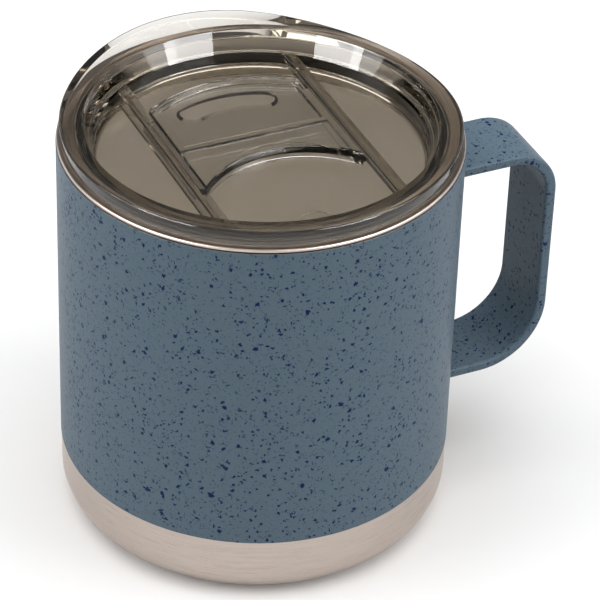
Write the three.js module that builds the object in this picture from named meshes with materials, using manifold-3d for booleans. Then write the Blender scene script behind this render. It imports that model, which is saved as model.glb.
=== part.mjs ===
// An insulated camp mug with a strap handle and a press-in drinking lid that has a sliding closure.
// Units are millimetres. The mug stands on z = 0 with its axis on Z, the handle points along +X,
// and the drinking side of the lid faces +Y.
import * as THREE from "three";
import { mergeVertices } from "three/addons/utils/BufferGeometryUtils.js";
import Module from "manifold-3d";

const wasm = await Module();
wasm.setup();

// Sides of every round part, and the clearance between separate pieces.
const SIDES = 64;
const GAP = 0.3;

// Double-walled body
const COAT_R = 44;
const COAT_THICKNESS = 0.15;
const STEEL_R = COAT_R - COAT_THICKNESS;
const COAT_BOTTOM = 16.5;
const COAT_TOP = 92.9;
const RIM_TOP = 94;
const SHELL_WALL = 0.7;
const CORNER_R = 8.5;
const FOOT_INNER_R = 31;
const LINER_R = 40.4;
const LINER_WALL = 0.6;
const LINER_CORNER_R = 8;
const LINER_FLOOR = 7;
const RIM_THICKNESS = 0.8;
const RIM_ROUND = 0.35;

// Underside: a recessed disc whose centre pad is level with the foot
const BASE_PAD_R = 9;
const BASE_RECESS = 0.8;
const BASE_WALL = 0.7;
const SEAL_R = 3;
const SEAL_HEIGHT = 1;
const GETTER_R = 5;
const GETTER_HEIGHT = 1.5;
const GETTER_X = 18;

// Strap handle
const HANDLE_WIDTH = 17.8;
const HANDLE_REACH = 69.2;
const HANDLE_STRAP = 2.6;
const HANDLE_TOP = 79.3;
const HANDLE_BOTTOM = 21.3;
const HANDLE_TOP_R = 11.5;
const HANDLE_BOTTOM_R = 16;
const HANDLE_EDGE = 0.5;
const HANDLE_ROOT_X = 40;

// Lid: a ring on the rim, a plug wall in the mouth, and a floor with two rails
const LID_R = 43.3;
const LID_BOTTOM = RIM_TOP + GAP;
const LID_TOP = 97.9;
const LID_BEVEL = 0.6;
const LID_DRAFT = 0.4;
const LIP_FOOT_R = 39.9;
const LIP_FOOT_TOP = 97.35;
const UNDERCUT_R = 40.4;
const UNDERCUT_SHARE = 1.8;
const RING_INNER_R = 38.3;
const RING_INNER_TOP = 97.2;
const RECESS_TOP_R = 38.05;
const RECESS_BEND = 92;
const RECESS_R = 36.1;
const RECESS_FILLET = 1.6;
const FLOOR_TOP = 89;
const FLOOR_THICKNESS = 1.2;
const PLUG_R = 39.7;
const PLUG_BOTTOM = 84.5;
const PLUG_WALL = 1.8;
const GROOVE_R = 38.6;
const GROOVE_BOTTOM = 87.7;
const GROOVE_TOP = 91.1;

// The ring's outer edge climbs to the drinking lip and dips beside the handle: each swell has the
// azimuth of its middle and its half width in degrees, and its height.
const RIM_SWELLS = [
  { azimuth: 99.5, halfWidth: 62, height: 2.4 },
  { azimuth: 22, halfWidth: 60, height: -1.6 },
];

// Rails and slider, which runs along Y between the rails
const RAIL_TOP = 92.6;
const RAIL_INNER_X = 18.5;
const RAIL_LIP = 1.2;
const RAIL_OUTER_X = 21.3;
const TONGUE_TOP = 91;
const SLIDER_HALF_WIDTH = RAIL_INNER_X - GAP;
const SLIDER_BOTTOM = 90.2;
const SLIDER_TOP = 92.4;
const SLIDER_CORNER_R = 2;
const SLIDER_SIDE_REAR = 19.5;
const SLIDER_SIDE_FRONT = -13;
const SLIDER_REAR = 26;
const SLIDER_FRONT = -4.5;
const SLIDER_BORDER = 2.2;
const SLIDER_POCKET = 0.8;
const THUMB_PAD_REAR = 3.5;
const THUMB_WALL = 1.6;
const STOPPER_INSET = 0.6;

// Openings in the floor
const SIP_ARC_Y = -2.7;
const SIP_ARC_R = 22.6;
const SIP_HALF_WIDTH = 2.7;
const SIP_HALF_SPAN = 22;
const VENT_Y = -30;
const VENT_R = 1.2;
const VENT_BOSS_R = 4.5;
const VENT_BOSS_HEIGHT = 0.8;

// Points of an arc in a profile, as [radius, height], for angles in degrees.
function arc(centreR, centreZ, radius, from, to, steps) {
  return Array.from({ length: steps + 1 }, (_, i) => {
    const angle = THREE.MathUtils.degToRad(from + ((to - from) * i) / steps);
    return [centreR + radius * Math.cos(angle), centreZ + radius * Math.sin(angle)];
  });
}

// A profile of [radius, height] points turned about Z.
function turned(profile) {
  const points = profile.map(([r, z]) => new THREE.Vector2(r, z));
  return new THREE.LatheGeometry(points, SIDES).rotateX(Math.PI / 2);
}

// A disc or rod about a vertical axis.
function rod(radius, bottom, top, x = 0, y = 0) {
  const geometry = new THREE.CylinderGeometry(radius, radius, top - bottom, SIDES);
  return geometry.rotateX(Math.PI / 2).translate(x, y, (bottom + top) / 2);
}

// A box between two opposite corners.
function box([x0, y0, z0], [x1, y1, z1]) {
  const geometry = new THREE.BoxGeometry(x1 - x0, y1 - y0, z1 - z0);
  return geometry.translate((x0 + x1) / 2, (y0 + y1) / 2, (z0 + z1) / 2);
}

// A flat outline in X and Y, raised from bottom to top.
function raised(shape, bottom, top) {
  const settings = { depth: top - bottom, bevelEnabled: false, curveSegments: 16 };
  return new THREE.ExtrudeGeometry(shape, settings).translate(0, 0, bottom);
}

function toSolid(geometry) {
  const bare = geometry.clone();
  bare.deleteAttribute("normal");
  bare.deleteAttribute("uv");
  const merged = mergeVertices(bare, 1e-4);
  const vertProperties = merged.attributes.position.array;
  const triVerts = new Uint32Array(merged.index.array);
  return new wasm.Manifold(new wasm.Mesh({ numProp: 3, vertProperties, triVerts }));
}

function toGeometry(solid) {
  const { vertProperties, triVerts } = solid.getMesh();
  const geometry = new THREE.BufferGeometry();
  geometry.setAttribute("position", new THREE.BufferAttribute(vertProperties, 3));
  geometry.setIndex(new THREE.BufferAttribute(triVerts, 1));
  return geometry;
}

function outerShell() {
  const footR = STEEL_R - CORNER_R;
  return turned([
    [FOOT_INNER_R, 0],
    ...arc(footR, CORNER_R, CORNER_R, -90, 0, 8),
    [STEEL_R, COAT_BOTTOM],
    [COAT_R, COAT_BOTTOM + COAT_THICKNESS],
    [COAT_R, COAT_TOP - COAT_THICKNESS],
    [STEEL_R, COAT_TOP],
    [STEEL_R - SHELL_WALL, COAT_TOP],
    ...arc(footR, CORNER_R, CORNER_R - SHELL_WALL, 0, -90, 6),
    [FOOT_INNER_R, SHELL_WALL],
    [FOOT_INNER_R, 0],
  ]);
}

function innerLiner() {
  const cornerCentreR = LINER_R - LINER_CORNER_R;
  const cornerCentreZ = LINER_FLOOR + LINER_CORNER_R;
  const outerCornerR = LINER_CORNER_R + LINER_WALL;
  const rimUnder = RIM_TOP - RIM_THICKNESS;
  return turned([
    [0, LINER_FLOOR - LINER_WALL],
    ...arc(cornerCentreR, cornerCentreZ, outerCornerR, -90, 0, 6),
    [LINER_R + LINER_WALL, rimUnder - LINER_WALL],
    [LINER_R + 2 * LINER_WALL, rimUnder],
    [STEEL_R, rimUnder],
    ...arc(STEEL_R - RIM_ROUND, RIM_TOP - RIM_ROUND, RIM_ROUND, 0, 90, 2),
    ...arc(LINER_R + LINER_WALL, RIM_TOP - LINER_WALL, LINER_WALL, 90, 180, 3),
    ...arc(cornerCentreR, cornerCentreZ, LINER_CORNER_R, 0, -90, 6),
    [0, LINER_FLOOR],
  ]);
}

function baseDisc() {
  const edgeR = FOOT_INNER_R - GAP;
  const top = BASE_RECESS + BASE_WALL;
  return turned([
    [0, 0],
    [BASE_PAD_R, 0],
    [BASE_PAD_R + BASE_RECESS, BASE_RECESS],
    [edgeR - BASE_WALL, BASE_RECESS],
    [edgeR - BASE_WALL, COAT_THICKNESS],
    [edgeR, COAT_THICKNESS],
    [edgeR, top],
    [BASE_PAD_R, top],
    [BASE_PAD_R - BASE_RECESS, BASE_WALL],
    [0, BASE_WALL],
  ]);
}

function vacuumSeal() {
  const bottom = BASE_WALL + GAP;
  return rod(SEAL_R, bottom, bottom + SEAL_HEIGHT);
}

function getter() {
  const bottom = BASE_RECESS + BASE_WALL + GAP;
  return rod(GETTER_R, bottom, bottom + GETTER_HEIGHT, GETTER_X);
}

// The strap's loop in side view, offset inward from the handle's outside by inset.
function addLoop(path, inset, reversed) {
  const reach = HANDLE_REACH - inset;
  const top = HANDLE_TOP - inset;
  const bottom = HANDLE_BOTTOM + inset;
  const topR = HANDLE_TOP_R - inset;
  const bottomR = HANDLE_BOTTOM_R - inset;
  const quarter = Math.PI / 2;
  if (reversed) {
    path.lineTo(HANDLE_ROOT_X, top);
    path.absarc(reach - topR, top - topR, topR, quarter, 0, true);
    path.absarc(reach - bottomR, bottom + bottomR, bottomR, 0, -quarter, true);
    path.lineTo(HANDLE_ROOT_X, bottom);
  } else {
    path.moveTo(HANDLE_ROOT_X, bottom);
    path.absarc(reach - bottomR, bottom + bottomR, bottomR, -quarter, 0, false);
    path.absarc(reach - topR, top - topR, topR, 0, quarter, false);
    path.lineTo(HANDLE_ROOT_X, top);
  }
}

function handle() {
  const side = new THREE.Shape();
  addLoop(side, HANDLE_EDGE, false);
  addLoop(side, HANDLE_STRAP - HANDLE_EDGE, true);
  side.closePath();
  const strap = new THREE.ExtrudeGeometry(side, {
    depth: HANDLE_WIDTH - 2 * HANDLE_EDGE,
    bevelSize: HANDLE_EDGE,
    bevelThickness: HANDLE_EDGE,
    bevelSegments: 1,
    curveSegments: 10,
  });
  strap.rotateX(Math.PI / 2);
  strap.translate(0, HANDLE_WIDTH / 2 - HANDLE_EDGE, 0);
  const body = rod(COAT_R + GAP, -1, RIM_TOP);
  return toGeometry(toSolid(strap).subtract(toSolid(body)));
}

// How far the ring's outer edge stands above its plain height, for an azimuth in degrees.
function rimSwell(azimuth) {
  return RIM_SWELLS.reduce((sum, swell) => {
    const away = Math.abs(((azimuth - swell.azimuth + 540) % 360) - 180);
    const share = away < swell.halfWidth ? (1 + Math.cos((Math.PI * away) / swell.halfWidth)) / 2 : 0;
    return sum + swell.height * share;
  }, 0);
}

// Lifts the lip, from its foot to its crest, by the swell at each azimuth. Where it rises, its
// underside rises further, so that the lip thins to an edge.
function shapeRim(geometry) {
  const position = geometry.attributes.position;
  const lowest = LID_BOTTOM + LID_BEVEL;
  for (let i = 0; i < position.count; i += 1) {
    const x = position.getX(i);
    const y = position.getY(i);
    const z = position.getZ(i);
    const radius = Math.hypot(x, y);
    const swell = rimSwell(THREE.MathUtils.radToDeg(Math.atan2(y, x)));
    const onTop = (radius - LIP_FOOT_R) / (LID_R - LID_BEVEL - LIP_FOOT_R);
    const below = (radius - UNDERCUT_R) / (LID_R - LID_DRAFT - LID_BEVEL - UNDERCUT_R);
    if (z > lowest + 1 && onTop > 0) position.setZ(i, z + swell * Math.min(onTop, 1));
    if (z < lowest + 1 && below > 0) {
      position.setZ(i, z + UNDERCUT_SHARE * Math.max(swell, 0) * Math.min(below, 1));
    }
  }
  return geometry;
}

function lidShell() {
  const floorBottom = FLOOR_TOP - FLOOR_THICKNESS;
  const skirtR = PLUG_R - PLUG_WALL;
  return shapeRim(
    turned([
      [0, floorBottom],
      [skirtR, floorBottom],
      [skirtR, PLUG_BOTTOM],
      [PLUG_R, PLUG_BOTTOM],
      [PLUG_R, GROOVE_BOTTOM],
      [GROOVE_R, GROOVE_BOTTOM],
      [GROOVE_R, GROOVE_TOP],
      [PLUG_R, GROOVE_TOP],
      [PLUG_R, LID_BOTTOM],
      [UNDERCUT_R, LID_BOTTOM],
      [LID_R - LID_DRAFT - LID_BEVEL, LID_BOTTOM],
      [LID_R - LID_DRAFT, LID_BOTTOM + LID_BEVEL],
      [LID_R, LID_TOP - LID_BEVEL],
      [LID_R - LID_BEVEL, LID_TOP],
      [LIP_FOOT_R, LIP_FOOT_TOP],
      [RING_INNER_R, RING_INNER_TOP],
      [RECESS_TOP_R, RING_INNER_TOP - LID_BEVEL],
      [RECESS_R, RECESS_BEND],
      ...arc(RECESS_R - RECESS_FILLET, FLOOR_TOP + RECESS_FILLET, RECESS_FILLET, 0, -90, 3),
      [0, FLOOR_TOP],
    ]),
  );
}

// One rail: an upright rib with a lip over the slider's tongue.
function rail(side) {
  const reach = RECESS_R;
  const ribInnerX = RAIL_INNER_X + RAIL_LIP;
  const lipBottom = TONGUE_TOP + GAP;
  const below = FLOOR_TOP - FLOOR_THICKNESS / 2;
  const rib = box(
    [Math.min(side * ribInnerX, side * RAIL_OUTER_X), -reach, below],
    [Math.max(side * ribInnerX, side * RAIL_OUTER_X), reach, RAIL_TOP],
  );
  const lip = box(
    [Math.min(side * RAIL_INNER_X, side * RAIL_OUTER_X), -reach, lipBottom],
    [Math.max(side * RAIL_INNER_X, side * RAIL_OUTER_X), reach, RAIL_TOP],
  );
  const mouth = rod(RECESS_R + GAP, below, RAIL_TOP + 1);
  return toSolid(rib).add(toSolid(lip)).intersect(toSolid(mouth));
}

// The sip slot: bowed like the slider's rear edge, with round ends.
function sipSlot() {
  const halfWidth = SIP_HALF_WIDTH;
  const span = THREE.MathUtils.degToRad(SIP_HALF_SPAN);
  const [right, left] = [Math.PI / 2 - span, Math.PI / 2 + span];
  const shape = new THREE.Shape();
  const endAt = (angle) => [SIP_ARC_R * Math.cos(angle), SIP_ARC_Y + SIP_ARC_R * Math.sin(angle)];
  shape.absarc(0, SIP_ARC_Y, SIP_ARC_R + halfWidth, right, left, false);
  shape.absarc(...endAt(left), halfWidth, left, left + Math.PI, false);
  shape.absarc(0, SIP_ARC_Y, SIP_ARC_R - halfWidth, left, right, true);
  shape.absarc(...endAt(right), halfWidth, right + Math.PI, right + 2 * Math.PI, false);
  shape.closePath();
  return shape;
}

function lidBody() {
  const below = FLOOR_TOP - FLOOR_THICKNESS - 1;
  const above = FLOOR_TOP + VENT_BOSS_HEIGHT;
  const boss = rod(VENT_BOSS_R, FLOOR_TOP - FLOOR_THICKNESS / 2, above, 0, VENT_Y);
  const sip = raised(sipSlot(), below, above + 1);
  const vent = rod(VENT_R, below, above + 1, 0, VENT_Y);
  const lid = toSolid(lidShell())
    .add(rail(-1))
    .add(rail(1))
    .add(toSolid(boss))
    .subtract(toSolid(sip))
    .subtract(toSolid(vent));
  return toGeometry(lid);
}

function lidGasket() {
  const innerR = GROOVE_R + GAP;
  const outerR = LINER_R - GAP;
  const bottom = GROOVE_BOTTOM + GAP;
  const top = GROOVE_TOP - GAP;
  const lip = (top - bottom) / 4;
  return turned([
    [innerR, bottom],
    [PLUG_R, bottom],
    [outerR, bottom + lip],
    [PLUG_R, bottom + 2 * lip],
    [outerR, bottom + 3 * lip],
    [PLUG_R, top],
    [innerR, top],
    [innerR, bottom],
  ]);
}

// Radius of an arc from its half chord and its rise.
function arcRadius(halfChord, rise) {
  return (halfChord ** 2 + rise ** 2) / (2 * rise);
}

// The slider in plan: a bowed rear edge with cut corners, and a hollowed front edge for the thumb.
function sliderOutline(inset) {
  const half = SLIDER_HALF_WIDTH - inset;
  const rear = SLIDER_REAR - inset;
  const sideRear = SLIDER_SIDE_REAR - inset;
  const rearR = arcRadius(half, rear - sideRear);
  const frontR = arcRadius(half, SLIDER_FRONT - SLIDER_SIDE_FRONT);
  const rearSpan = Math.asin((half - SLIDER_CORNER_R) / rearR);
  const frontSpan = Math.asin(half / frontR);
  const shape = new THREE.Shape();
  shape.moveTo(half, SLIDER_SIDE_FRONT);
  shape.lineTo(half, sideRear - SLIDER_CORNER_R);
  shape.absarc(0, rear - rearR, rearR, Math.PI / 2 - rearSpan, Math.PI / 2 + rearSpan, false);
  shape.lineTo(-half, sideRear - SLIDER_CORNER_R);
  shape.lineTo(-half, SLIDER_SIDE_FRONT);
  shape.absarc(0, SLIDER_FRONT - frontR, frontR, Math.PI / 2 + frontSpan, Math.PI / 2 - frontSpan, true);
  shape.closePath();
  return shape;
}

// The wall that the thumb pushes, in plan: a band behind the hollowed front edge.
function thumbWallOutline() {
  const radius = arcRadius(SLIDER_HALF_WIDTH, SLIDER_FRONT - SLIDER_SIDE_FRONT);
  const span = Math.asin(SLIDER_HALF_WIDTH / radius);
  const centreY = SLIDER_FRONT - radius;
  const shape = new THREE.Shape();
  shape.moveTo(SLIDER_HALF_WIDTH, SLIDER_SIDE_FRONT);
  shape.lineTo(SLIDER_HALF_WIDTH, SLIDER_SIDE_FRONT + THUMB_WALL);
  shape.absarc(0, centreY + THUMB_WALL, radius, Math.PI / 2 - span, Math.PI / 2 + span, false);
  shape.lineTo(-SLIDER_HALF_WIDTH, SLIDER_SIDE_FRONT);
  shape.absarc(0, centreY, radius, Math.PI / 2 + span, Math.PI / 2 - span, true);
  shape.closePath();
  return shape;
}

// The slider: a plate with a sunk panel, two tongues, a thumb wall, and a stopper over the sip hole.
function sliderPlate() {
  const tongueX = RAIL_INNER_X + RAIL_LIP - GAP;
  const tongueRear = SLIDER_SIDE_REAR - SLIDER_CORNER_R - 1;
  const tongueFront = SLIDER_SIDE_FRONT + 1;
  const plate = toSolid(raised(sliderOutline(0), SLIDER_BOTTOM, SLIDER_TOP));
  const pocket = toSolid(raised(sliderOutline(SLIDER_BORDER), SLIDER_TOP - SLIDER_POCKET, SLIDER_TOP + 1));
  const tongues = [-1, 1].map((side) => {
    const inner = side * (SLIDER_HALF_WIDTH - 1);
    const outer = side * tongueX;
    const low = [Math.min(inner, outer), tongueFront, FLOOR_TOP + GAP];
    const high = [Math.max(inner, outer), tongueRear, TONGUE_TOP];
    return toSolid(box(low, high));
  });
  const thumbWall = toSolid(raised(thumbWallOutline(), FLOOR_TOP + GAP, SLIDER_BOTTOM + 1));
  const behindThumb = toSolid(box([-tongueX, THUMB_PAD_REAR, 0], [tongueX, SLIDER_REAR, SLIDER_TOP + 1]));
  const stopper = toSolid(raised(sliderOutline(STOPPER_INSET), FLOOR_TOP + GAP, SLIDER_BOTTOM + 1));
  const cut = plate.subtract(pocket.intersect(behindThumb));
  return toGeometry(
    cut.add(tongues[0]).add(tongues[1]).add(thumbWall).add(stopper.intersect(behindThumb)),
  );
}

const MATERIALS = {
  coating: { color: 0x566672, roughness: 0.55, metalness: 0.1 },
  steel: { color: 0xb9b3ab, roughness: 0.35, metalness: 1 },
  smoke: { color: 0x6f655b, roughness: 0.08, metalness: 0, transparent: true, opacity: 0.55 },
  silicone: { color: 0x2c2b2b, roughness: 0.6, metalness: 0 },
  braze: { color: 0x4a4a4c, roughness: 0.5, metalness: 0.4 },
  getterMetal: { color: 0x8d8f92, roughness: 0.4, metalness: 0.9 },
};

const PIECES = [
  ["outer_shell", outerShell, "coating"],
  ["inner_liner", innerLiner, "steel"],
  ["base_disc", baseDisc, "steel"],
  ["vacuum_seal", vacuumSeal, "braze"],
  ["getter", getter, "getterMetal"],
  ["handle", handle, "coating"],
  ["lid_body", lidBody, "smoke"],
  ["lid_gasket", lidGasket, "silicone"],
  ["slider", sliderPlate, "smoke"],
];

const mug = new THREE.Group();
for (const [name, build, finish] of PIECES) {
  const mesh = new THREE.Mesh(build(), new THREE.MeshStandardMaterial(MATERIALS[finish]));
  mesh.name = name;
  mug.add(mesh);
}

export default mug;
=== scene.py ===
"""Looks of the insulated camp mug: smooth shells, speckled coat, brushed steel, smoke-clear lid."""
import math

import bmesh
import bpy
from mathutils import Matrix, Vector


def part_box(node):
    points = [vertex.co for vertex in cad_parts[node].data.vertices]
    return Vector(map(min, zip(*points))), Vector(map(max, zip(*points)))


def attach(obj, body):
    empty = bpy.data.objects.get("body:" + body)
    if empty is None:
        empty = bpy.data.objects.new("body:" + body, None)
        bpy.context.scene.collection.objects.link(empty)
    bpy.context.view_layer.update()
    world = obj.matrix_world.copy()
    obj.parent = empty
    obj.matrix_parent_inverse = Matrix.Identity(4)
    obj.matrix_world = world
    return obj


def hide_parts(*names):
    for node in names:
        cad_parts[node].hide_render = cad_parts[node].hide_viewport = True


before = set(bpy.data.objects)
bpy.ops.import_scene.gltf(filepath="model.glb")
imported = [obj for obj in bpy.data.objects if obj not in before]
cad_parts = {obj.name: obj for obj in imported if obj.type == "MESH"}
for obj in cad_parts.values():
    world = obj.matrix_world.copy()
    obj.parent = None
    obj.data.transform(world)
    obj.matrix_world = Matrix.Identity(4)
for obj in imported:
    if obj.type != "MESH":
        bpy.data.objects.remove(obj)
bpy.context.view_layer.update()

MM = 0.001
SIDES = 224
GAP = 0.3
# How far a tool runs past the face that it cuts, or a part into the solid that it joins.
OVERLAP = 1

# ---------------------------------------------------------------- sizes, in millimetres


def box_mm(node):
    low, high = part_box(node)
    return low / MM, high / MM


_, shell_high = box_mm("outer_shell")
liner_low, liner_high = box_mm("inner_liner")
_, disc_high = box_mm("base_disc")
handle_low, handle_high = box_mm("handle")
lid_low, lid_high = box_mm("lid_body")
gasket_low, gasket_high = box_mm("lid_gasket")
slider_low, slider_high = box_mm("slider")

COAT_R = shell_high.x
COAT_THICKNESS = 0.15
COAT_SEAM = 0.01
STEEL_R = COAT_R - COAT_THICKNESS
COAT_BOTTOM = 16.5
COAT_TOP = shell_high.z
SHELL_WALL = 0.7
CORNER_R = 8.5
FOOT_INNER_R = disc_high.x + GAP
RIM_TOP = liner_high.z
LINER_R = 40.4
LINER_WALL = 0.6
LINER_FLOOR = liner_low.z + LINER_WALL
LINER_CORNER_R = 8
RIM_UNDER = RIM_TOP - 0.8
RIM_SEAM = 0.05
PAD_R = 9
PAD_RECESS = 0.8
DISC_WALL = 0.7
DISC_LIFT = 0.15

LID_R = lid_high.x
LID_BOTTOM = RIM_TOP + GAP
LID_TOP = 97.9
RING_INNER_R = 38.3
RING_INNER_TOP = 97.2
RECESS_R = 36.1
RECESS_BEND = 92.0
FLOOR_TOP = 89.0
FLOOR_BOTTOM = 87.8
PLUG_R = 39.7
PLUG_WALL = 1.8
PLUG_BOTTOM = lid_low.z
GROOVE_R = 38.6
GROOVE_BOTTOM = gasket_low.z - GAP
GROOVE_TOP = gasket_high.z + GAP
LIP_FOOT_R = 39.9
LIP_CREST_R = 42.8
LID_DRAFT = 0.4
UNDERCUT_R = 40.4
UNDERCUT_SHARE = 1.8
# A swell and a dip: the azimuth of the middle and the half width, in degrees, and the height.
RIM_SWELLS = ((99.5, 62, 2.4), (22, 60, -1.6))

RAIL_TOP = 92.6
RAIL_INNER_X = 18.5
RAIL_LIP = 1.2
RAIL_OUTER_X = 21.3
TONGUE_X = slider_high.x
TONGUE_TOP = 91.0
SLIDER_HALF = RAIL_INNER_X - GAP
SLIDER_BOTTOM = 90.2
SLIDER_TOP = slider_high.z
SLIDER_REAR = slider_high.y
SLIDER_SIDE_REAR = 19.5
SLIDER_SIDE_FRONT = slider_low.y
SLIDER_FRONT = -4.5
SLIDER_BORDER = 2.0
SLIDER_POCKET = 0.8
SLIDER_CORNER_R = 2.6
THUMB_PANEL_REAR = 3.5
THUMB_PANEL_LEFT = -12
THUMB_PANEL_RIGHT = 15
THUMB_PANEL_TAPER = 0.8
THUMB_POCKET = 0.25
THUMB_BORDER = 1.2
THUMB_WALL = 1.5
THUMB_WALL_END = 0.8
STOPPER_INSET = 0.6
SIP_ARC_Y = -2.7
SIP_ARC_R = 22.6
SIP_HALF_WIDTH = 2.7
SIP_HALF_SPAN = 22
SIP_FLARE = 0.7
TONGUE_REAR = 16.5
TONGUE_FRONT = SLIDER_SIDE_FRONT + 1
VENT_Y = -30
VENT_R = 1.2
VENT_BOSS_R = 4.5
VENT_BOSS_HEIGHT = 0.8

HANDLE_STRAP = 2.6
HANDLE_TOP_R = 11.5
HANDLE_BOTTOM_R = 16
HANDLE_EDGE_R = 0.75
HANDLE_SINK = 0.6

# ---------------------------------------------------------------- outlines


def rounded(corners, closed=False, steps=6):
    """Points of an outline whose corners are (a, b, radius): each corner becomes an arc."""
    points = []
    count = len(corners)
    for i, (a, b, radius) in enumerate(corners):
        here = Vector((a, b))
        if radius <= 0 or (not closed and i in (0, count - 1)):
            points.append(here)
            continue
        back = (Vector(corners[i - 1][:2]) - here).normalized()
        ahead = (Vector(corners[(i + 1) % count][:2]) - here).normalized()
        half = math.acos(max(-1, min(1, back.dot(ahead)))) / 2
        centre = here + (back + ahead).normalized() * (radius / math.sin(half))
        start = here + back * (radius / math.tan(half)) - centre
        end = here + ahead * (radius / math.tan(half)) - centre
        turn = math.atan2(start.x * end.y - start.y * end.x, start.dot(end))
        for k in range(steps + 1):
            points.append(centre + Matrix.Rotation(turn * k / steps, 2) @ start)
    return [(p.x, p.y) for p in points]


def arc_points(centre, radius, start, end, steps):
    """Points of an arc between two angles in degrees."""
    angles = [math.radians(start + (end - start) * k / steps) for k in range(steps + 1)]
    return [(centre[0] + radius * math.cos(t), centre[1] + radius * math.sin(t)) for t in angles]


def circle(centre, radius, steps):
    return arc_points(centre, radius, 0, 360 - 360 / steps, steps - 1)


def arc_radius(half_chord, rise):
    return (half_chord**2 + rise**2) / (2 * rise)


# ---------------------------------------------------------------- meshes


def new_object(name, vertices, faces):
    mesh = bpy.data.meshes.new(name)
    mesh.from_pydata([Vector(v) * MM for v in vertices], [], faces)
    obj = bpy.data.objects.new(name, mesh)
    bpy.context.scene.collection.objects.link(obj)
    return obj


def outward(obj):
    """Merges what touches, turns every face outward and marks the hard edges."""
    bm = bmesh.new()
    bm.from_mesh(obj.data)
    bmesh.ops.remove_doubles(bm, verts=bm.verts, dist=1e-7)
    bmesh.ops.recalc_face_normals(bm, faces=bm.faces)
    for edge in bm.edges:
        edge.smooth = len(edge.link_faces) == 2 and edge.calc_face_angle(0) < math.radians(35)
    for face in bm.faces:
        face.smooth = True
    bm.to_mesh(obj.data)
    bm.free()
    weighted = obj.modifiers.new("weighted normals", "WEIGHTED_NORMAL")
    weighted.keep_sharp = True
    return obj


def turned(name, profile, closed=False, sides=SIDES):
    """A profile of (radius, height) points turned about Z, as one closed skin."""
    vertices = []
    rings = []
    for r, z in profile:
        if r < 1e-6:
            rings.append([len(vertices)] * sides)
            vertices.append((0, 0, z))
            continue
        rings.append(list(range(len(vertices), len(vertices) + sides)))
        for k in range(sides):
            t = 2 * math.pi * k / sides
            vertices.append((r * math.cos(t), r * math.sin(t), z))
    faces = []
    pairs = list(zip(rings, rings[1:]))
    if closed:
        pairs.append((rings[-1], rings[0]))
    for low, high in pairs:
        for k in range(sides):
            n = (k + 1) % sides
            corners = [low[k], low[n], high[n], high[k]]
            face = [c for i, c in enumerate(corners) if c not in corners[:i]]
            if len(face) > 2:
                faces.append(face)
    return outward(new_object(name, vertices, faces))


def slab(name, outline, low, high, bevel=0.0):
    """A flat outline in X and Y raised from low to high, with its edges rounded by bevel."""
    steps = 4 if bevel else 0
    levels = []
    for k in range(steps + 1):
        t = math.pi / 2 * k / max(steps, 1)
        levels.append((bevel * (1 - math.sin(t)), low + bevel * (1 - math.cos(t))))
    levels += [(inset, high - (z - low)) for inset, z in reversed(levels)]
    return stacked(name, outline, levels)


def stacked(name, outline, levels):
    """A solid through one outline at several levels, each given as (inset, height)."""
    vertices = []
    for inset, z in levels:
        vertices += [(x, y, z) for x, y in shrunk(outline, inset)]
    count = len(outline)
    faces = [list(range(count))[::-1], [len(vertices) - count + k for k in range(count)]]
    for level in range(len(levels) - 1):
        for k in range(count):
            n = (k + 1) % count
            a, b = level * count, (level + 1) * count
            faces.append([a + k, a + n, b + n, b + k])
    return outward(new_object(name, vertices, faces))


def shrunk(outline, inset):
    """An outline with every point moved inward by inset."""
    if inset == 0:
        return outline
    count = len(outline)
    area = sum(
        outline[k][0] * outline[(k + 1) % count][1] - outline[(k + 1) % count][0] * outline[k][1]
        for k in range(count)
    )
    sign = 1 if area > 0 else -1
    moved = []
    for k in range(count):
        here = Vector(outline[k])
        back = (here - Vector(outline[k - 1])).normalized()
        ahead = (Vector(outline[(k + 1) % count]) - here).normalized()
        normal = Vector((-(back + ahead).y, (back + ahead).x)).normalized() * sign
        half_turn = max(0.3, math.sqrt((1 + back.dot(ahead)) / 2))
        moved.append(tuple(here + normal * inset / half_turn))
    return moved


def combine(obj, other, operation):
    """Joins other to obj, or cuts it away, and deletes it."""
    modifier = obj.modifiers.new("boolean", "BOOLEAN")
    modifier.operation = operation
    modifier.solver = "EXACT"
    modifier.object = other
    while obj.modifiers[0] != modifier:
        obj.modifiers.remove(obj.modifiers[0])
    graph = bpy.context.evaluated_depsgraph_get()
    mesh = bpy.data.meshes.new_from_object(obj.evaluated_get(graph))
    obj.modifiers.clear()
    obj.data = mesh
    bpy.data.objects.remove(other)
    return outward(obj)


# ---------------------------------------------------------------- materials

COAT_TONES = ((0.061, 0.090, 0.114, 1), (0.072, 0.104, 0.130, 1))
SPECKLE_TONE = (0.001, 0.008, 0.045, 1)
STEEL_TONES = ((0.36, 0.305, 0.27, 1), (0.56, 0.485, 0.435, 1))
SATIN_TONES = ((0.92, 0.885, 0.835, 1), (0.97, 0.94, 0.89, 1))
CLEAR_TONES = ((0.93, 0.92, 0.90, 1), (0.97, 0.96, 0.95, 1))
SMOKE_TINT = (0.47, 0.41, 0.31, 1)
SILICONE_TONES = ((0.022, 0.021, 0.021, 1), (0.036, 0.035, 0.034, 1))
GETTER_TONES = ((0.30, 0.30, 0.31, 1), (0.45, 0.45, 0.46, 1))
BRAZE_TONES = ((0.05, 0.05, 0.055, 1), (0.12, 0.12, 0.12, 1))
FLOOR_TONES = ((0.54, 0.54, 0.54, 1), (0.56, 0.56, 0.56, 1))

# How strongly the lid and the slider are tinted, per metre of depth.
LID_SMOKE = 265
SLIDER_SMOKE = 110

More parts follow.
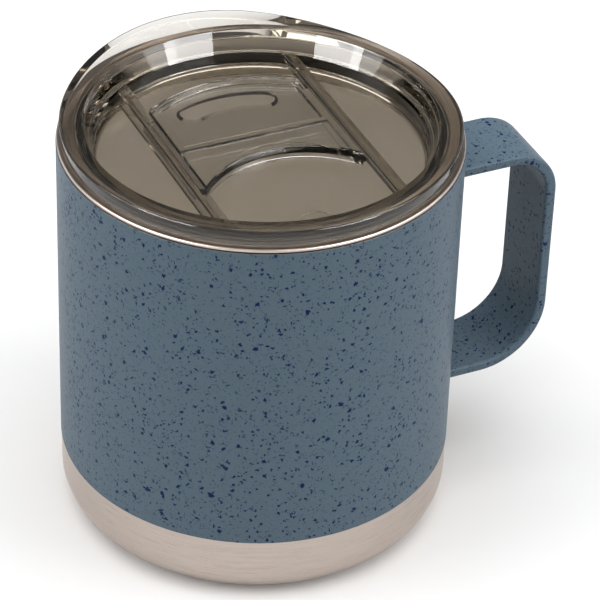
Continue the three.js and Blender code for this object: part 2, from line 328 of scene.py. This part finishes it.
# Four sizes of speckle: the cell that each spot sits in, its greatest radius and its soft edge.
LARGE_SPECKLES = (2.6, 0.66, 0.03)
MEDIUM_SPECKLES = (1.15, 0.47, 0.03)
SMALL_SPECKLES = (0.72, 0.36, 0.05)
TINY_SPECKLES = (0.45, 0.22, 0.06)


def material(name):
    made = bpy.data.materials.new(name)
    made.use_nodes = True
    return made, made.node_tree, made.node_tree.nodes["Principled BSDF"]


def add(tree, kind, inputs=(), **settings):
    """A node with its settings and inputs given: an input is a value, or a socket to link."""
    made = tree.nodes.new("ShaderNode" + kind)
    for key, value in settings.items():
        setattr(made, key, value)
    for key, value in dict(inputs).items():
        if isinstance(value, bpy.types.NodeSocket):
            tree.links.new(value, made.inputs[key])
        else:
            made.inputs[key].default_value = value
    return made


def calc(tree, operation, *values, clamp=False):
    return add(tree, "Math", enumerate(values), operation=operation, use_clamp=clamp).outputs[0]


def millimetres(tree):
    """The object's own coordinates in millimetres."""
    place = add(tree, "TexCoord").outputs["Object"]
    inputs = {0: place, 1: Vector((1, 1, 1)) / MM}
    return add(tree, "VectorMath", inputs, operation="MULTIPLY").outputs[0]


def noise(tree, vector, scale, detail=3.0, roughness=0.5):
    inputs = {"Vector": vector, "Scale": scale, "Detail": detail, "Roughness": roughness}
    return add(tree, "TexNoise", inputs)


def spread(tree, value, low, high, to_low, to_high):
    inputs = {0: value, 1: low, 2: high, 3: to_low, 4: to_high}
    return add(tree, "MapRange", inputs, interpolation_type="SMOOTHSTEP").outputs[0]


def mix_colour(tree, share, first, second):
    made = tree.nodes.new("ShaderNodeMix")
    made.data_type = "RGBA"
    tree.links.new(share, made.inputs[0])
    for socket, value in ((made.inputs[6], first), (made.inputs[7], second)):
        if isinstance(value, bpy.types.NodeSocket):
            tree.links.new(value, socket)
        else:
            socket.default_value = value
    return made.outputs[2]


def bump(tree, shader, height, distance, strength=1.0):
    inputs = {"Height": height, "Distance": distance * MM, "Strength": strength}
    tree.links.new(add(tree, "Bump", inputs).outputs[0], shader.inputs["Normal"])


def speckles(tree, place, cell, radius, softness):
    """Round-ish spots: one candidate in each cell, with its own radius, all in millimetres."""
    inputs = {"Vector": place, "Scale": 1 / cell, "Randomness": 1.0}
    spots = add(tree, "TexVoronoi", inputs)
    pick = add(tree, "SeparateColor", {0: spots.outputs["Color"]}).outputs[0]
    size = calc(tree, "MULTIPLY", calc(tree, "POWER", pick, 2.2), radius / cell)
    edge = calc(tree, "SUBTRACT", size, spots.outputs["Distance"])
    return spread(tree, edge, 0.0, softness / cell, 0.0, 1.0)


def coating_material():
    made, tree, shader = material("powder_coat")
    place = millimetres(tree)
    wander = noise(tree, place, 1.6, 2.0).outputs["Color"]
    centred = add(tree, "VectorMath", {0: wander, 1: (0.5, 0.5, 0.5)}, operation="SUBTRACT")
    inputs = {0: centred.outputs[0], "Scale": 1.5}
    shift = add(tree, "VectorMath", inputs, operation="SCALE").outputs[0]
    warped = add(tree, "VectorMath", {0: place, 1: shift}, operation="ADD").outputs[0]
    crowd = spread(tree, noise(tree, place, 0.16, 2.0).outputs["Fac"], 0.35, 0.65, 0.45, 1.0)
    small = calc(tree, "MULTIPLY", speckles(tree, warped, *SMALL_SPECKLES), crowd)
    tiny = calc(tree, "MULTIPLY", speckles(tree, warped, *TINY_SPECKLES), 0.55)
    spots = calc(tree, "MAXIMUM", small, tiny, clamp=True)
    for size in (LARGE_SPECKLES, MEDIUM_SPECKLES):
        spots = calc(tree, "MAXIMUM", spots, speckles(tree, warped, *size), clamp=True)
    cloud = noise(tree, place, 0.9, 4.0).outputs["Fac"]
    ground = mix_colour(tree, cloud, *COAT_TONES)
    colour = mix_colour(tree, spots, ground, SPECKLE_TONE)
    tree.links.new(colour, shader.inputs["Base Color"])
    grain = noise(tree, place, 3.2, 3.0).outputs["Fac"]
    tree.links.new(spread(tree, grain, 0.3, 0.7, 0.36, 0.46), shader.inputs["Roughness"])
    shader.inputs["Specular IOR Level"].default_value = 0.08
    bump(tree, shader, grain, 0.03, 0.35)
    return made


def steel_material(name, tones, smoothest, roughest, metallic):
    """Steel brushed round the axis, between two tones and two roughnesses."""
    made, tree, shader = material(name)
    place = millimetres(tree)
    split = add(tree, "SeparateXYZ", {0: place}).outputs
    flat = add(tree, "CombineXYZ", {0: split[0], 1: split[1]}).outputs[0]
    reach = add(tree, "VectorMath", {0: flat}, operation="LENGTH").outputs["Value"]
    along = calc(tree, "MULTIPLY", calc(tree, "ADD", reach, split[2]), 9.0)
    across = [calc(tree, "MULTIPLY", split[axis], 0.09) for axis in (0, 1)]
    stretched = add(tree, "CombineXYZ", enumerate([*across, along])).outputs[0]
    streak = noise(tree, stretched, 1.0, 4.0, 0.6).outputs["Fac"]
    tree.links.new(mix_colour(tree, streak, *tones), shader.inputs["Base Color"])
    roughness = spread(tree, streak, 0.3, 0.7, smoothest, roughest)
    tree.links.new(roughness, shader.inputs["Roughness"])
    shader.inputs["Metallic"].default_value = metallic
    shader.inputs["Anisotropic"].default_value = 0.55
    tangent = add(tree, "Tangent", direction_type="RADIAL", axis="Z").outputs[0]
    tree.links.new(tangent, shader.inputs["Tangent"])
    bump(tree, shader, streak, 0.006, 0.5)
    return made


def smoke_material(name, density):
    """Clear plastic with a smoky tint all through it, as strong as density says."""
    made, tree, shader = material(name)
    place = millimetres(tree)
    haze = noise(tree, place, 0.25, 3.0).outputs["Fac"]
    colour = mix_colour(tree, haze, *CLEAR_TONES)
    tree.links.new(colour, shader.inputs["Base Color"])
    tree.links.new(spread(tree, haze, 0.3, 0.7, 0.015, 0.035), shader.inputs["Roughness"])
    shader.inputs["Transmission Weight"].default_value = 1.0
    shader.inputs["IOR"].default_value = 1.5
    bump(tree, shader, noise(tree, place, 0.12, 1.0).outputs["Fac"], 0.05, 0.3)
    smoke = add(tree, "VolumeAbsorption", {"Color": SMOKE_TINT, "Density": density})
    tree.links.new(smoke.outputs[0], tree.nodes["Material Output"].inputs["Volume"])
    return made


def silicone_material():
    made, tree, shader = material("silicone")
    mottle = noise(tree, millimetres(tree), 0.8, 3.0).outputs["Fac"]
    colour = mix_colour(tree, mottle, *SILICONE_TONES)
    tree.links.new(colour, shader.inputs["Base Color"])
    tree.links.new(spread(tree, mottle, 0.3, 0.7, 0.42, 0.55), shader.inputs["Roughness"])
    bump(tree, shader, mottle, 0.02, 0.3)
    return made


def dull_metal_material(name, tones, metallic):
    made, tree, shader = material(name)
    grain = noise(tree, millimetres(tree), 2.5, 5.0).outputs["Fac"]
    tree.links.new(mix_colour(tree, grain, *tones), shader.inputs["Base Color"])
    tree.links.new(spread(tree, grain, 0.3, 0.7, 0.45, 0.7), shader.inputs["Roughness"])
    shader.inputs["Metallic"].default_value = metallic
    bump(tree, shader, grain, 0.05, 0.6)
    return made


COAT = coating_material()
STEEL = steel_material("brushed_steel", STEEL_TONES, smoothest=0.26, roughest=0.40, metallic=1.0)
SATIN = steel_material("satin_steel", SATIN_TONES, smoothest=0.40, roughest=0.55, metallic=0.3)
SMOKE = smoke_material("smoke_plastic", LID_SMOKE)
LIGHT_SMOKE = smoke_material("light_smoke_plastic", SLIDER_SMOKE)
SILICONE = silicone_material()
GETTER = dull_metal_material("getter_metal", GETTER_TONES, metallic=0.9)
BRAZE = dull_metal_material("braze", BRAZE_TONES, metallic=0.3)


def dress(obj, finish, body, slot, *nodes):
    """Gives a piece its finish and its body, and hides the CAD nodes that it stands for. The slot is not
    used.
    """
    obj.data.materials.clear()
    obj.data.materials.append(finish)
    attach(obj, body)
    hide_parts(*nodes)
    return obj


# ---------------------------------------------------------------- the mug's body


def make_shell():
    """The steel shell, and the coat as a thin sleeve round it above the bare band."""
    outer = rounded(
        [
            (FOOT_INNER_R, 0, 0),
            (STEEL_R, 0, CORNER_R),
            (STEEL_R, COAT_TOP, 0.1),
            (STEEL_R - SHELL_WALL, COAT_TOP, 0.1),
            (STEEL_R - SHELL_WALL, SHELL_WALL, CORNER_R - SHELL_WALL),
            (FOOT_INNER_R, SHELL_WALL, 0.1),
        ],
        closed=True,
        steps=16,
    )
    shell = turned("shell_steel", outer, closed=True)
    dress(shell, STEEL, "mug", "steel", "outer_shell")
    sleeve = rounded(
        [
            (STEEL_R + COAT_SEAM, COAT_BOTTOM, 0),
            (COAT_R, COAT_BOTTOM, 0.12),
            (COAT_R, COAT_TOP, 0.12),
            (STEEL_R + COAT_SEAM, COAT_TOP, 0),
        ],
        closed=True,
        steps=5,
    )
    coat = turned("shell_coat", sleeve, closed=True)
    dress(coat, COAT, "mug", "coating", "outer_shell")


def make_liner():
    """The liner in two pieces, each with its own finish: the satin cup and the brushed rim."""
    profile = rounded(
        [
            (0, LINER_FLOOR - LINER_WALL, 0),
            (LINER_R + LINER_WALL, LINER_FLOOR - LINER_WALL, LINER_CORNER_R + LINER_WALL),
            (LINER_R + LINER_WALL, RIM_UNDER - RIM_SEAM, 0.1),
            (LINER_R, RIM_UNDER - RIM_SEAM, 0.1),
            (LINER_R, LINER_FLOOR, LINER_CORNER_R),
            (0, LINER_FLOOR, 0),
        ],
        steps=10,
    )
    dress(turned("liner_cup", profile), SATIN, "mug", "steel", "inner_liner")
    rim = rounded(
        [
            (LINER_R, RIM_UNDER, 0.1),
            (STEEL_R, RIM_UNDER, 0.15),
            (STEEL_R, RIM_TOP, 0.4),
            (LINER_R, RIM_TOP, 0.5),
        ],
        closed=True,
        steps=8,
    )
    dress(turned("liner_rim", rim, closed=True), STEEL, "mug", "steel", "inner_liner")


def make_base():
    """The base disc: a flat pad in the middle with a sunk ring round it."""
    edge = disc_high.x
    top = disc_high.z
    profile = rounded(
        [
            (0, 0, 0),
            (PAD_R, 0, 0.4),
            (PAD_R + PAD_RECESS, PAD_RECESS, 0.4),
            (edge - DISC_WALL - 0.2, PAD_RECESS, 0.3),
            (edge - DISC_WALL, DISC_LIFT, 0.1),
            (edge, DISC_LIFT, 0.1),
            (edge, top, 0.2),
            (PAD_R, top, 0.4),
            (PAD_R - PAD_RECESS, DISC_WALL, 0.4),
            (0, DISC_WALL, 0),
        ]
    )
    dress(turned("base_cap", profile), STEEL, "mug", "steel", "base_disc")


def make_handle():
    """The strap: a rounded section swept along the loop, its ends set into the coat."""
    root = COAT_R - HANDLE_SINK
    half_strap = HANDLE_STRAP / 2
    reach = handle_high.x - half_strap
    top = handle_high.z - half_strap
    bottom = handle_low.z + half_strap
    route = rounded(
        [
            (root, bottom, 0),
            (reach, bottom, HANDLE_BOTTOM_R - half_strap),
            (reach, top, HANDLE_TOP_R - half_strap),
            (root, top, 0),
        ],
        steps=28,
    )
    half_width = handle_high.y
    section = rounded(
        [
            (-half_strap, -half_width, HANDLE_EDGE_R),
            (half_strap, -half_width, HANDLE_EDGE_R),
            (half_strap, half_width, HANDLE_EDGE_R),
            (-half_strap, half_width, HANDLE_EDGE_R),
        ],
        closed=True,
        steps=5,
    )
    vertices = []
    for k, (x, z) in enumerate(route):
        before = Vector(route[max(k - 1, 0)])
        after = Vector(route[min(k + 1, len(route) - 1)])
        along = (after - before).normalized()
        outside = Vector((along.y, -along.x))
        for across, y in section:
            vertices.append((x + outside.x * across, y, z + outside.y * across))
    count = len(section)
    last = len(vertices) - count
    faces = [list(range(count)), list(range(last, last + count))]
    for k in range(len(route) - 1):
        for i in range(count):
            n = (i + 1) % count
            faces.append([k * count + i, k * count + n, (k + 1) * count + n, (k + 1) * count + i])
    strap = outward(new_object("handle_strap", vertices, faces))
    dress(strap, COAT, "mug", "coating", "handle")


# ---------------------------------------------------------------- the lid


def rim_swell(azimuth):
    """How far the ring's outer edge stands above its plain height."""
    rise = 0
    for middle, half, height in RIM_SWELLS:
        away = abs((azimuth - middle + 540) % 360 - 180)
        if away < half:
            rise += height * (1 + math.cos(math.pi * away / half)) / 2
    return rise


def shape_rim(obj):
    """Lifts the lip, from its foot to its crest, by the swell at each azimuth.

    Where it rises, its underside rises further, so that the lip thins to an edge."""
    middle = (LID_BOTTOM + LID_TOP) / 2
    for vertex in obj.data.vertices:
        x, y, z = vertex.co / MM
        reach = math.hypot(x, y)
        swell = rim_swell(math.degrees(math.atan2(y, x)))
        on_top = min((reach - LIP_FOOT_R) / (LIP_CREST_R - LIP_FOOT_R), 1)
        below = min((reach - UNDERCUT_R) / (LIP_CREST_R - LID_DRAFT - UNDERCUT_R), 1)
        if z > middle and on_top > 0:
            vertex.co.z += swell * on_top * MM
        if z < middle and below > 0:
            vertex.co.z += UNDERCUT_SHARE * max(swell, 0) * below * MM


def rail_solid(side):
    """One rail: an upright rib with a lip over the slider's tongue, longer than the recess."""
    rib = RAIL_INNER_X + RAIL_LIP
    below = (FLOOR_TOP + FLOOR_BOTTOM) / 2
    section = rounded(
        [
            (side * rib, below, 0),
            (side * rib, TONGUE_TOP + GAP, 0),
            (side * RAIL_INNER_X, TONGUE_TOP + GAP, 0.15),
            (side * RAIL_INNER_X, RAIL_TOP, 0.3),
            (side * RAIL_OUTER_X, RAIL_TOP, 0.3),
            (side * RAIL_OUTER_X, below, 0),
        ],
        closed=True,
        steps=4,
    )
    count = len(section)
    vertices = [(x, y, z) for y in (-RECESS_R, RECESS_R) for x, z in section]
    faces = [list(range(count)), list(range(count, 2 * count))]
    faces += [[i, (i + 1) % count, count + (i + 1) % count, count + i] for i in range(count)]
    return outward(new_object("rail", vertices, faces))


def bowed_slot(half_width, half_span):
    """A slot bowed like the slider's rear edge, with round ends."""
    right, left = 90 - half_span, 90 + half_span
    ends = []
    for angle, start in ((left, left), (right, right + 180)):
        t = math.radians(angle)
        centre = (SIP_ARC_R * math.cos(t), SIP_ARC_Y + SIP_ARC_R * math.sin(t))
        ends.append(arc_points(centre, half_width, start, start + 180, 14)[1:-1])
    outer = arc_points((0, SIP_ARC_Y), SIP_ARC_R + half_width, right, left, 24)
    inner = arc_points((0, SIP_ARC_Y), SIP_ARC_R - half_width, left, right, 24)
    return outer + ends[0] + inner + ends[1]


def make_lid():
    """The turned body with its shaped lip, then the rails, the vent's boss and the two openings."""
    skirt = PLUG_R - PLUG_WALL
    profile = rounded(
        [
            (0, FLOOR_BOTTOM, 0),
            (skirt, FLOOR_BOTTOM, 0.5),
            (skirt, PLUG_BOTTOM, 0.5),
            (PLUG_R, PLUG_BOTTOM, 0.7),
            (PLUG_R, GROOVE_BOTTOM, 0.15),
            (GROOVE_R, GROOVE_BOTTOM, 0.15),
            (GROOVE_R, GROOVE_TOP, 0.15),
            (PLUG_R, GROOVE_TOP, 0.15),
            (PLUG_R, LID_BOTTOM, 0.3),
            (UNDERCUT_R, LID_BOTTOM, 0),
            (LID_R - LID_DRAFT, LID_BOTTOM, 0.4),
            (LID_R, LID_TOP, 0.45),
            (LIP_CREST_R, LID_TOP, 0.2),
            (LIP_FOOT_R, RING_INNER_TOP + 0.15, 0.8),
            (RING_INNER_R, RING_INNER_TOP, 0.35),
            (RECESS_R, RECESS_BEND, 0.8),
            (RECESS_R, FLOOR_TOP, 1.2),
            (0, FLOOR_TOP, 0),
        ],
        steps=8,
    )
    lid = turned("lid_clear", profile)
    shape_rim(lid)
    low, high, reach = FLOOR_BOTTOM, RAIL_TOP + OVERLAP, RECESS_R + GAP
    mouth = turned("mouth", [(0, low), (reach, low), (reach, high), (0, high)])
    for side in (-1, 1):
        rail = rail_solid(side)
        copy = mouth.copy()
        copy.data = mouth.data.copy()
        bpy.context.scene.collection.objects.link(copy)
        combine(lid, combine(rail, copy, "INTERSECT"), "UNION")
    bpy.data.objects.remove(mouth)
    boss = circle((0, VENT_Y), VENT_BOSS_R, 48)
    combine(lid, slab("boss", boss, FLOOR_BOTTOM + 0.4, FLOOR_TOP + VENT_BOSS_HEIGHT, 0.25), "UNION")
    sip = bowed_slot(SIP_HALF_WIDTH, SIP_HALF_SPAN)
    flared = [(-SIP_FLARE, FLOOR_BOTTOM - 0.1), (0, FLOOR_TOP), (0, FLOOR_TOP + 0.1)]
    combine(lid, stacked("sip", sip, flared), "DIFFERENCE")
    vent = circle((0, VENT_Y), VENT_R, 36)
    above = FLOOR_TOP + VENT_BOSS_HEIGHT + OVERLAP
    combine(lid, slab("vent", vent, FLOOR_BOTTOM - OVERLAP, above), "DIFFERENCE")
    dress(lid, SMOKE, "lid", "smoke_plastic", "lid_body")


def make_gasket():
    """A band with two fins that stand out from the plug."""
    inner = GROOVE_R + GAP
    valley = PLUG_R - 0.15
    low, high = gasket_low.z, gasket_high.z
    fin = (high - low) / 4
    profile = rounded(
        [
            (inner, low, 0.15),
            (valley, low, 0.15),
            (gasket_high.x, low + fin, 0.12),
            (valley, low + 2 * fin, 0.15),
            (gasket_high.x, low + 3 * fin, 0.12),
            (valley, high, 0.15),
            (inner, high, 0.15),
        ],
        closed=True,
        steps=4,
    )
    dress(turned("gasket", profile, closed=True), SILICONE, "lid", "silicone", "lid_gasket")


def slider_outline(inset=0.0, front=None):
    """The slider in plan, moved in by inset: a bowed rear edge with round corners, and a front
    edge hollowed for the thumb, or straight at Y = front."""
    half = SLIDER_HALF - inset
    rear = SLIDER_REAR - inset
    bow_r = arc_radius(SLIDER_HALF, SLIDER_REAR - SLIDER_SIDE_REAR) - inset
    corner = SLIDER_CORNER_R - inset * 0.5
    span = math.degrees(math.asin((half - corner) / bow_r))
    bow = arc_points((0, rear - bow_r), bow_r, 90 - span, 90 + span, 40)
    shoulder = bow[0][1] - corner * 0.35
    side_front = SLIDER_SIDE_FRONT if front is None else front
    points = [(half, side_front, 0), (half, shoulder, corner)]
    points += [(x, y, 0) for x, y in bow[1:-1]]
    points += [(-half, shoulder, corner), (-half, side_front, 0)]
    if front is None:
        points += [(x, y, 0) for x, y in front_arc(0)[1:-1]]
    return rounded(points, closed=True, steps=8)


def front_arc(shift):
    """The hollowed front edge from left to right, moved rearward by shift."""
    radius = arc_radius(SLIDER_HALF, SLIDER_FRONT - SLIDER_SIDE_FRONT)
    span = math.degrees(math.asin(SLIDER_HALF / radius))
    return arc_points((0, SLIDER_FRONT - radius + shift), radius, 90 + span, 90 - span, 48)


def make_slider():
    """A plate with a sunk rear panel, a thumb panel, a thumb wall, tongues and a stopper."""
    low = FLOOR_TOP + GAP
    above = SLIDER_TOP + OVERLAP
    within = SLIDER_BOTTOM + OVERLAP
    slider = slab("slider_clear", slider_outline(), SLIDER_BOTTOM, SLIDER_TOP, 0.5)
    panel = slider_outline(SLIDER_BORDER, THUMB_PANEL_REAR)
    combine(slider, slab("panel", panel, SLIDER_TOP - SLIDER_POCKET, above, 0.6), "DIFFERENCE")
    rear = THUMB_PANEL_REAR - THUMB_BORDER
    thumb = [(THUMB_PANEL_RIGHT, rear), (THUMB_PANEL_LEFT, rear)]
    thumb += [(x * THUMB_PANEL_TAPER, y) for x, y in front_arc(THUMB_WALL + 0.8)]
    combine(slider, slab("thumb", thumb, SLIDER_TOP - THUMB_POCKET, above), "DIFFERENCE")
    front = front_arc(0)
    swell = THUMB_WALL - THUMB_WALL_END
    thickness = [THUMB_WALL_END + swell * (1 - (x / SLIDER_HALF) ** 2) for x, y in front]
    wall = front + [(x, y + t) for (x, y), t in zip(front, thickness)][::-1]
    combine(slider, slab("wall", wall, low, within, 0.12), "UNION")
    stopper = slider_outline(STOPPER_INSET, THUMB_PANEL_REAR)
    combine(slider, slab("stopper", stopper, low, within, 0.3), "UNION")
    for side in (-1, 1):
        inner, outer = side * (SLIDER_HALF - OVERLAP), side * TONGUE_X
        tongue = [(inner, TONGUE_FRONT), (outer, TONGUE_FRONT), (outer, TONGUE_REAR), (inner, TONGUE_REAR)]
        combine(slider, slab("tongue", tongue, low, TONGUE_TOP, 0.15), "UNION")
    dress(slider, LIGHT_SMOKE, "slider", "smoke_plastic", "slider")


make_shell()
make_liner()
make_base()
make_handle()
make_lid()
make_gasket()
make_slider()

for hidden, finish in (("getter", GETTER), ("vacuum_seal", BRAZE)):
    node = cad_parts[hidden]
    node.data.materials.clear()
    node.data.materials.append(finish)

# ---------------------------------------------------------------- floor, light and camera


CAMERA_AZIMUTH = -24.5
CAMERA_BACK = 561.9
CAMERA_HEIGHT = 453.7
CAMERA_PITCH = 35.67
CAMERA_YAW = 0.973
CAMERA_ROLL = -2.065
CAMERA_LENS = 186.7

FLOOR_HALF = 3000
FLOOR_LEVEL = -0.05
AIM_HEIGHT = 50
SIDE_LAMP_TURN = 75
CARD_TURN = 49

# The sky is dimmed round one point opposite the camera: fully within FLAG_INNER degrees of it,
# and not at all past FLAG_OUTER.
SKY_STRENGTH = 0.45
FLAG_STRENGTH = 0.18
FLAG_ELEVATION = 34
FLAG_INNER = 22
FLAG_OUTER = 50


def make_floor():
    """A plain pale floor just under the mug."""
    signs = ((-1, -1), (1, -1), (1, 1), (-1, 1))
    corners = [(x * FLOOR_HALF, y * FLOOR_HALF, FLOOR_LEVEL) for x, y in signs]
    floor = new_object("floor", corners, [[0, 1, 2, 3]])
    made, tree, shader = material("floor")
    cloud = noise(tree, millimetres(tree), 0.004, 2.0).outputs["Fac"]
    colour = mix_colour(tree, cloud, *FLOOR_TONES)
    tree.links.new(colour, shader.inputs["Base Color"])
    shader.inputs["Roughness"].default_value = 0.9
    floor.data.materials.append(made)


def make_world():
    """An even white sky with one dimmer patch."""
    world = bpy.data.worlds.new("studio")
    bpy.context.scene.world = world
    world.use_nodes = True
    tree = world.node_tree
    turn = math.radians(CAMERA_AZIMUTH)
    rise = math.tan(math.radians(FLAG_ELEVATION))
    flag = Vector((-math.sin(turn), math.cos(turn), rise)).normalized()
    towards = add(tree, "TexCoord").outputs["Generated"]
    near = add(tree, "VectorMath", {0: towards, 1: flag}, operation="DOT_PRODUCT").outputs["Value"]
    outer, inner = math.cos(math.radians(FLAG_OUTER)), math.cos(math.radians(FLAG_INNER))
    dim = spread(tree, near, outer, inner, SKY_STRENGTH, FLAG_STRENGTH)
    tree.links.new(dim, tree.nodes["Background"].inputs["Strength"])
    tree.nodes["Background"].inputs["Color"].default_value = (1.0, 1.0, 1.0, 1)


def make_light(name, azimuth, elevation, distance, size, power):
    """A soft rectangular lamp that looks at the middle of the mug."""
    lamp = bpy.data.lights.new(name, "AREA")
    lamp.shape = "RECTANGLE"
    lamp.size, lamp.size_y = size
    lamp.energy = power
    holder = bpy.data.objects.new(name, lamp)
    a, e = math.radians(azimuth), math.radians(elevation)
    back = Vector((math.sin(a) * math.cos(e), -math.cos(a) * math.cos(e), math.sin(e)))
    holder.location = Vector((0, 0, AIM_HEIGHT * MM)) + back * distance
    holder.rotation_mode = "QUATERNION"
    holder.rotation_quaternion = (-back).to_track_quat("-Z", "Y")
    bpy.context.scene.collection.objects.link(holder)
    return holder


def make_card(name, azimuth):
    """A lamp that only shows as a reflection, low at one side of the camera."""
    card = make_light(name, azimuth, elevation=16, distance=1.3, size=(0.72, 0.8), power=24)
    card.visible_diffuse = False
    card.visible_transmission = False


def make_camera():
    camera = bpy.data.cameras.new("camera")
    camera.lens = CAMERA_LENS
    camera.sensor_width = 36
    camera.clip_start, camera.clip_end = 0.01, 50
    holder = bpy.data.objects.new("camera", camera)
    bpy.context.scene.collection.objects.link(holder)
    turn = Matrix.Rotation(math.radians(CAMERA_AZIMUTH), 3, "Z")
    yaw, pitch, roll = (math.radians(v) for v in (CAMERA_YAW, CAMERA_PITCH, CAMERA_ROLL))
    ahead = Vector((math.sin(yaw) * math.cos(pitch), math.cos(yaw) * math.cos(pitch), -math.sin(pitch)))
    right = Vector((math.cos(yaw), -math.sin(yaw), 0))
    down = ahead.cross(right)
    right, down = (
        right * math.cos(roll) + down * math.sin(roll),
        down * math.cos(roll) - right * math.sin(roll),
    )
    axes = Matrix((turn @ right, turn @ -down, turn @ -ahead)).transposed()
    place = turn @ Vector((0, -CAMERA_BACK, CAMERA_HEIGHT)) * MM
    holder.matrix_world = Matrix.Translation(place) @ axes.to_4x4()
    bpy.context.scene.camera = holder


make_floor()
make_world()
for name, side in (("left", -1), ("right", 1)):
    azimuth = CAMERA_AZIMUTH + side * SIDE_LAMP_TURN
    make_light(name, azimuth, elevation=25, distance=1.3, size=(0.8, 0.8), power=9)
for name, side in (("card_left", -1), ("card_right", 1)):
    make_card(name, CAMERA_AZIMUTH + side * CARD_TURN)
top = make_light("top", CAMERA_AZIMUTH, elevation=90, distance=1.4, size=(2.0, 2.0), power=45)
top.visible_glossy = False
make_camera()

bpy.context.scene.view_settings.view_transform = "Standard"
